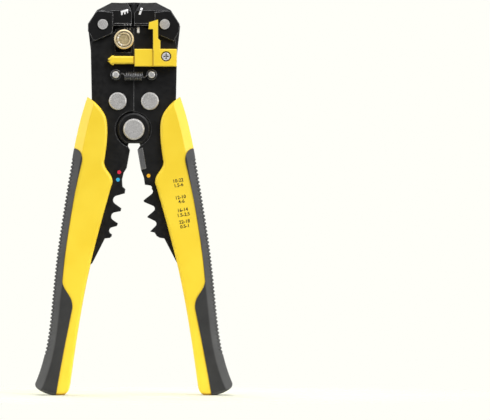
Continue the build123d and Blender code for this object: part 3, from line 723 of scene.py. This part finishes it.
def die_dots():
    """Paint dots that mark the crimping dies."""
    for name, centre, color, node, body in DIE_DOTS:
        decal(name + "_die_dot", [ring_outline(centre, DOT_RADIUS)], node,
              paint(name + "_paint", color), body)


def knob_marks():
    """Bright dabs over the dings of the knob's inner ring."""
    low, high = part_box("tension_knob")
    centre_x = (low.x + high.x) / 2 / MM
    centre_z = ((low.z + high.z) / 2 - PIVOT.z) / MM
    outlines = []
    for degrees in KNOB_MARK_ANGLES:
        angle = math.radians(degrees)
        point = (centre_x + KNOB_MARK_REACH * math.cos(angle),
                 centre_z + KNOB_MARK_REACH * math.sin(angle))
        outlines.append(ring_outline(point, KNOB_MARK_RADIUS, KNOB_MARK_CORNERS))
    # Pale dabs laid over the dings.
    decal("knob_marks", outlines, "tension_knob", paint("knob_pale_dabs", (1.0, 0.96, 0.86)), "knob")


def beside_teeth(outline):
    """One copy of an outline beside each tooth."""
    return [[(tooth + x, z) for x, z in outline] for tooth in TOOTH_X]


def jaw_marks():
    """White marks on the upper jaws and the lower blade, and grey ones by the left teeth."""
    white = paint("white_ink", (0.92, 0.92, 0.92), 0.5)
    grey = paint("grey_ink", (0.30, 0.30, 0.30), 0.5)
    decal("left_jaw_mark", LEFT_JAW_COMB, "left_upper_jaw", white, "left_jaw", JAW_FILM_CUTS)
    decal("right_jaw_mark", [RIGHT_JAW_BAR], "right_upper_jaw", white, "right_jaw", JAW_FILM_CUTS)
    decal("lower_blade_mark", [BLADE_LIP], "lower_stripping_blade", white, "right_half")
    decal("left_lower_tooth_marks", beside_teeth(LOWER_TOOTH_MARK), "left_front_plate", grey,
          "left_half")
    decal("left_upper_tooth_marks", beside_teeth(UPPER_TOOTH_MARK), "left_upper_pad", grey,
          "left_jaw")


# Text and centre of each row of generic wire sizes
SIZE_ROWS = (("10-22", (23.1, -26.8)), ("1.5-6", (23.4, -29.2)), ("12-10", (24.4, -35.5)),
             ("4-6", (24.9, -37.7)), ("16-14", (25.5, -42.1)), ("1.5-2.5", (25.9, -44.6)),
             ("22-18", (26.5, -48.2)), ("0.5-1", (26.7, -50.6)))
ROW_TILT = math.radians(9.6)
GLYPH_SIZE = 2.45 * MM
INK_SPREAD = 0.05 * MM


def size_numbers():
    """Printed wire sizes on the face of the right handle, as generic numbers."""
    ink = paint("brown_ink", (0.018, 0.008, 0.003), 0.5)
    tilt = Matrix.Rotation(-ROW_TILT, 4, "Y")
    upright = Matrix.Rotation(math.pi / 2, 4, "X")
    bm = bmesh.new()
    for text, (x, z) in SIZE_ROWS:
        curve = bpy.data.curves.new("row", "FONT")
        curve.body = text
        curve.size = GLYPH_SIZE
        curve.align_x = "CENTER"
        curve.align_y = "CENTER"
        curve.offset = INK_SPREAD
        obj = bpy.data.objects.new("row", curve)
        bpy.context.scene.collection.objects.link(obj)
        bpy.context.view_layer.update()
        mesh = bpy.data.meshes.new_from_object(obj)
        place = Matrix.Translation((PIVOT.x + x * MM, SHELL_FRONT - FILM_LIFT, PIVOT.z + z * MM))
        mesh.transform(place @ tilt @ upright)
        bm.from_mesh(mesh)
        bpy.data.objects.remove(obj)
        bpy.data.curves.remove(curve)
        bpy.data.meshes.remove(mesh)
    piece_from_bmesh("size_numbers", bm, ink, "right_half", smooth=False)


# ---- stage ----

PICTURE_WIDTH = 255.9 * MM
LENS = 600.0
SENSOR = 36.0
CAMERA_REACH = 20.0
CAMERA_X = 58.0 * MM
CAMERA_Z = 96.6 * MM
FLOOR_RADIUS = 0.22
FLOOR_FADE_START = 0.10
FLOOR_CORNERS = 96
FLOOR_COLOR = (0.60, 0.60, 0.50, 1.0)
IVORY = (1.0, 1.0, 0.94)

# Places are in metres; the side lights stand left and right, in front of and behind the tool
LIGHT_AIM = (0, 0, 110 * MM)
SIDE_LIGHT_X, SIDE_LIGHT_Y, SIDE_LIGHT_Z = 1.13, 0.41, 0.35
SIDE_LIGHT_SIZE = 0.5
SIDE_LIGHT_WATTS = 4.0
FRONT_LIGHT_PLACE = (0.55, -1.0, 1.1)
BACK_LIGHT_PLACE = (-0.25, 1.0, 1.1)
FACE_LIGHT_SIZE = 0.8
FACE_LIGHT_WATTS = 12.5
TOP_LIGHT_PLACE = (0, 0, 1.2)
TOP_LIGHT_SIZE = 0.9
TOP_LIGHT_WATTS = 6.0


def camera():
    """Long-lens camera square to the front, with the tool in the left half of the picture."""
    data = bpy.data.cameras.new("camera")
    data.lens = LENS
    data.sensor_width = SENSOR
    data.clip_end = CAMERA_REACH
    obj = bpy.data.objects.new("camera", data)
    obj.location = (CAMERA_X, -PICTURE_WIDTH * LENS / SENSOR, CAMERA_Z)
    obj.rotation_euler = (math.pi / 2, 0, 0)
    bpy.context.scene.collection.objects.link(obj)
    bpy.context.scene.camera = obj


def area_light(name, place, size, watts):
    """Square soft light aimed at the middle of the tool."""
    data = bpy.data.lights.new(name, "AREA")
    data.size = size
    data.energy = watts
    obj = bpy.data.objects.new(name, data)
    obj.location = place
    direction = Vector(LIGHT_AIM) - Vector(place)
    obj.rotation_euler = direction.to_track_quat("-Z", "Y").to_euler()
    bpy.context.scene.collection.objects.link(obj)


def lights():
    """Soft studio light: two at each side, one high at each face and one overhead."""
    for side in (-1, 1):
        area_light("side" + str(side), (side * SIDE_LIGHT_X, -SIDE_LIGHT_Y, SIDE_LIGHT_Z),
                   SIDE_LIGHT_SIZE, SIDE_LIGHT_WATTS)
        area_light("back_side" + str(side), (side * SIDE_LIGHT_X, SIDE_LIGHT_Y, SIDE_LIGHT_Z),
                   SIDE_LIGHT_SIZE, SIDE_LIGHT_WATTS)
    area_light("front", FRONT_LIGHT_PLACE, FACE_LIGHT_SIZE, FACE_LIGHT_WATTS)
    area_light("back", BACK_LIGHT_PLACE, FACE_LIGHT_SIZE, FACE_LIGHT_WATTS)
    area_light("top", TOP_LIGHT_PLACE, TOP_LIGHT_SIZE, TOP_LIGHT_WATTS)


def eased(nodes, source, low, high):
    """Grey that goes smoothly from low to high; each is a (position, value) pair."""
    node = nodes.add("ShaderNodeMapRange", interpolation_type="SMOOTHSTEP",
                     From_Min=low[0], From_Max=high[0], To_Min=low[1], To_Max=high[1])
    nodes.join(source, node.inputs["Value"])
    return node.outputs["Result"]


def world():
    """Ivory background for the camera; for all else a soft room, bright above and at the sides."""
    data = bpy.data.worlds.new("studio")
    data.use_nodes = True
    nodes = Nodes(data.node_tree)
    nodes.tree.nodes.clear()
    split = nodes.add("ShaderNodeSeparateXYZ")
    nodes.join(nodes.add("ShaderNodeTexCoord").outputs["Generated"], split.inputs[0])
    ahead = nodes.add("ShaderNodeMath", operation="ABSOLUTE")
    nodes.join(split.outputs["Y"], ahead.inputs[0])
    strength = nodes.add("ShaderNodeMath", operation="MULTIPLY")
    nodes.join(eased(nodes, split.outputs["Z"], (-0.3, 0.3), (0.6, 1.0)), strength.inputs[0])
    nodes.join(eased(nodes, ahead.outputs[0], (0.65, 1.0), (0.95, 0.25)), strength.inputs[1])
    room = nodes.add("ShaderNodeBackground")
    nodes.join(strength.outputs[0], room.inputs["Strength"])
    backdrop = nodes.add("ShaderNodeBackground", Color=(*IVORY, 1.0))
    choice = nodes.add("ShaderNodeMixShader")
    nodes.join(nodes.add("ShaderNodeLightPath").outputs["Is Camera Ray"], choice.inputs["Fac"])
    nodes.join(room.outputs[0], choice.inputs[1])
    nodes.join(backdrop.outputs[0], choice.inputs[2])
    output = nodes.add("ShaderNodeOutputWorld")
    nodes.join(choice.outputs[0], output.inputs["Surface"])
    bpy.context.scene.world = data


def floor():
    """Pale round floor that fades out towards its edge."""
    shader = Shader("floor")
    distance = shader.add("ShaderNodeVectorMath", operation="LENGTH")
    shader.join(shader.place, distance.inputs[0])
    fade = shader.ramp(distance.outputs["Value"], 1.0, 0.0, FLOOR_FADE_START, FLOOR_RADIUS)
    shader.join(fade, shader.bsdf.inputs["Alpha"])
    shader.set(Base_Color=FLOOR_COLOR, Roughness=0.9, Specular_IOR_Level=0.0)
    bm = bmesh.new()
    bmesh.ops.create_circle(bm, cap_ends=True, segments=FLOOR_CORNERS, radius=FLOOR_RADIUS)
    piece_from_bmesh("floor", bm, shader.material, smooth=False)


# ---- build ----

dress_cad_nodes()
return_spring("front_return_spring")
return_spring("rear_return_spring")
soft_grip_piece("left", -1)
soft_grip_piece("right", 1)
die_dots()
knob_marks()
jaw_marks()
size_numbers()
camera()
lights()
world()
floor()
bpy.context.scene.view_settings.view_transform = "Standard"
